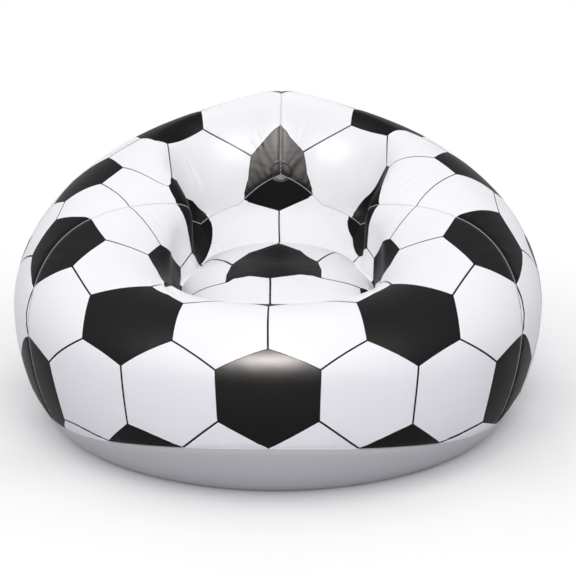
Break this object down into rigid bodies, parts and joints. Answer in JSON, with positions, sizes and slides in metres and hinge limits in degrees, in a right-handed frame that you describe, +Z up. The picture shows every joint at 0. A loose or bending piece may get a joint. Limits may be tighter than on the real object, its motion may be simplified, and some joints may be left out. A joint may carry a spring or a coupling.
{
  "type": "inflatable chair",
  "caption": "Inflatable bucket armchair welded from hexagon-printed film panels, with round arms, a raised backrest, a sunken seat and a push-in air valve.",
  "frame": {"origin": "on the ground below the middle of the chair", "axes": "+X towards the sitter's left, +Z up, and the open front of the seat faces -Y"},
  "size_m": [1.1408, 1.1188, 0.6599],
  "materials": {
    "white_film": "satin white PVC film, printed with near-black and outlined hexagons",
    "base_film": "satin pale grey PVC film, plain",
    "tie_film": "plain PVC film inside the air chamber",
    "valve_plastic": "soft milky vinyl"
  },
  "bodies": {
    "chair": {"front_skin": "white_film", "back_skin_right": "white_film", "back_skin_left": "white_film", "inner_back_skin": "white_film", "seat_skin": "white_film", "base_skin": "base_film", "seat_baffle": "tie_film", "back_web": "tie_film", "seam_patch": "white_film", "valve_flange": "valve_plastic"},
    "stem": {"valve_stem": "valve_plastic", "plug_strap": "valve_plastic"},
    "plug": {"valve_plug": "valve_plastic"},
    "flap": {"check_flap": "valve_plastic"}
  },
  "joints": [
    {"name": "stem_pull", "type": "slide", "parent": "chair", "child": "stem", "axis": [0.3425, 0.8648, -0.3671], "range_m": [0, 0.012]},
    {"name": "plug_hinge", "type": "hinge", "parent": "stem", "child": "plug", "pos_m": [0.24973, 0.49418, 0.12505], "axis": [-0.9297, 0.3683, 0], "range_deg": [0, 120]},
    {"name": "flap_hinge", "type": "hinge", "parent": "stem", "child": "flap", "pos_m": [0.241, 0.47215, 0.153], "axis": [-0.9297, 0.3683, 0], "range_deg": [0, 60]}
  ]
}
